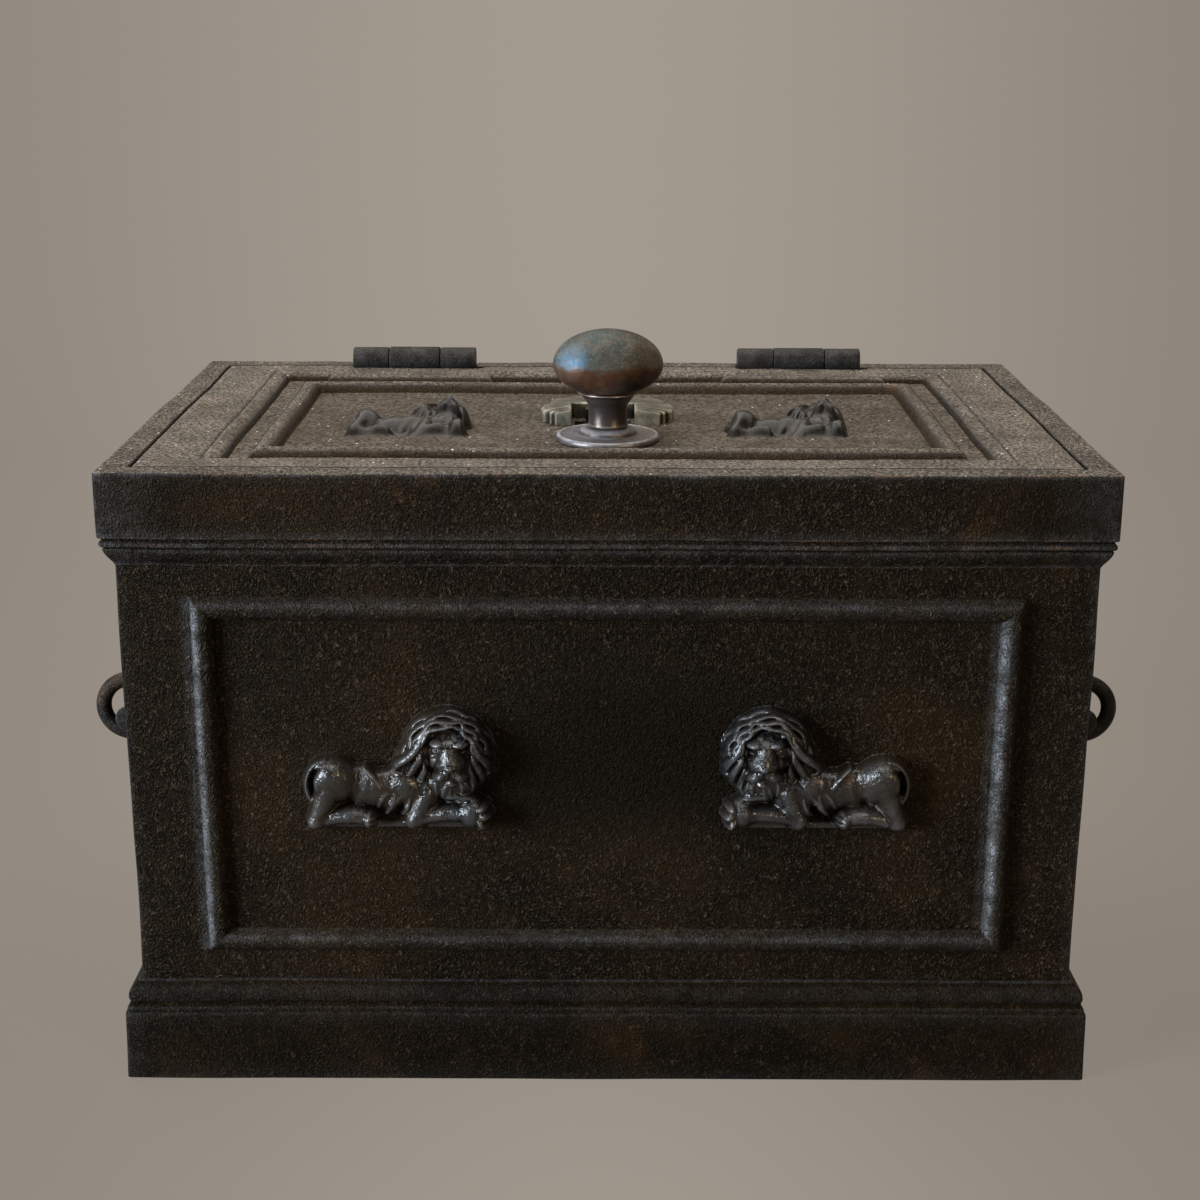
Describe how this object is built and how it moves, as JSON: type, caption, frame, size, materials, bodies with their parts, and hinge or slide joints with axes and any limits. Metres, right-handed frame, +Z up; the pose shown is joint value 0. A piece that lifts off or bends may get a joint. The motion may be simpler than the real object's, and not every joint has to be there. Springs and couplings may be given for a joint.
{
  "type": "metal chest",
  "caption": "Cast-iron strong chest with moulded rim and plinth, hinged drop-in lid, turning knob that throws lock bolts, keyhole plate, lion mounts and swinging end handles.",
  "frame": {"origin": "middle of the chest's underside, on the surface that it stands on", "axes": "+Z up, +X to the right along the length, -Y towards the front with its two lions"},
  "size_m": [0.5666, 0.3233, 0.3815],
  "materials": {
    "black_iron": "pebbled black paint, worn and dusty",
    "inner_iron": "bare dull iron",
    "steel": "dull filed steel",
    "bronze": "dark bronze with verdigris",
    "brass": "tarnished brass"
  },
  "bodies": {
    "chest": {"plinth_frame": "black_iron", "floor_plate": "inner_iron", "front_plate": "black_iron", "back_plate": "black_iron", "left_end_plate": "black_iron", "right_end_plate": "black_iron", "rim_frame": "black_iron", "corner_angle_front_left": "inner_iron", "corner_angle_front_right": "inner_iron", "corner_angle_back_left": "inner_iron", "corner_angle_back_right": "inner_iron", "front_lion_left": "black_iron", "front_lion_right": "black_iron", "hinge_rim_leaf_left": "black_iron", "hinge_rim_leaf_right": "black_iron", "hinge_pin_left": "steel", "hinge_pin_right": "steel", "hinge_rim_screw_left_1": "steel", "hinge_rim_screw_left_2": "steel", "hinge_rim_screw_right_1": "steel", "hinge_rim_screw_right_2": "steel", "handle_eye_left_front": "black_iron", "handle_eye_left_back": "black_iron", "handle_eye_right_front": "black_iron", "handle_eye_right_back": "black_iron", "handle_nut_left_front": "steel", "handle_nut_left_back": "steel", "handle_nut_right_front": "steel", "handle_nut_right_back": "steel"},
    "lid": {"lid_plate": "black_iron", "lid_lion_left": "black_iron", "lid_lion_right": "black_iron", "hinge_lid_leaf_left": "black_iron", "hinge_lid_leaf_right": "black_iron", "hinge_lid_screw_left_1": "steel", "hinge_lid_screw_left_2": "steel", "hinge_lid_screw_right_1": "steel", "hinge_lid_screw_right_2": "steel", "knob_rose": "bronze", "keyhole_plate": "brass", "keyhole_ward": "brass", "lock_case": "steel", "bolt_guide_left": "steel", "bolt_guide_right": "steel", "lock_screw_front_left": "steel", "lock_screw_front_right": "steel", "lock_screw_back_left": "steel", "lock_screw_back_right": "steel"},
    "turn_knob": {"knob": "bronze", "knob_spindle": "steel", "lock_pinion": "steel"},
    "left_bolt": {"bolt_bar_left": "steel"},
    "right_bolt": {"bolt_bar_right": "steel"},
    "lock_bolt": {"key_bolt": "steel"},
    "left_handle": {"handle_bail_left": "black_iron"},
    "right_handle": {"handle_bail_right": "black_iron"}
  },
  "joints": [
    {"name": "lid_hinge", "type": "hinge", "parent": "chest", "child": "lid", "pos_m": [0, 0.13985, 0.3315], "axis": [-1, 0, 0], "range_deg": [0, 105]},
    {"name": "knob_turn", "type": "hinge", "parent": "lid", "child": "turn_knob", "pos_m": [0, -0.0515, 0.327], "axis": [0, 0, 1], "range_deg": [0, 90]},
    {"name": "right_bolt_slide", "type": "slide", "parent": "lid", "child": "right_bolt", "axis": [1, 0, 0], "range_m": [0, 0.0126]},
    {"name": "left_bolt_slide", "type": "slide", "parent": "lid", "child": "left_bolt", "axis": [-1, 0, 0], "range_m": [0, 0.0126]},
    {"name": "key_bolt_slide", "type": "slide", "parent": "lid", "child": "lock_bolt", "axis": [0, -1, 0], "range_m": [0, 0.005]},
    {"name": "left_handle_swing", "type": "hinge", "parent": "chest", "child": "left_handle", "pos_m": [-0.2638, 0, 0.1643], "axis": [0, 1, 0], "range_deg": [-28, 208]},
    {"name": "right_handle_swing", "type": "hinge", "parent": "chest", "child": "right_handle", "pos_m": [0.2638, 0, 0.1643], "axis": [0, -1, 0], "range_deg": [-28, 208]}
  ],
  "couplings": [
    {"joint": "right_bolt_slide", "follows": "knob_turn", "m_per_rad": 0.008},
    {"joint": "left_bolt_slide", "follows": "knob_turn", "m_per_rad": 0.008}
  ]
}
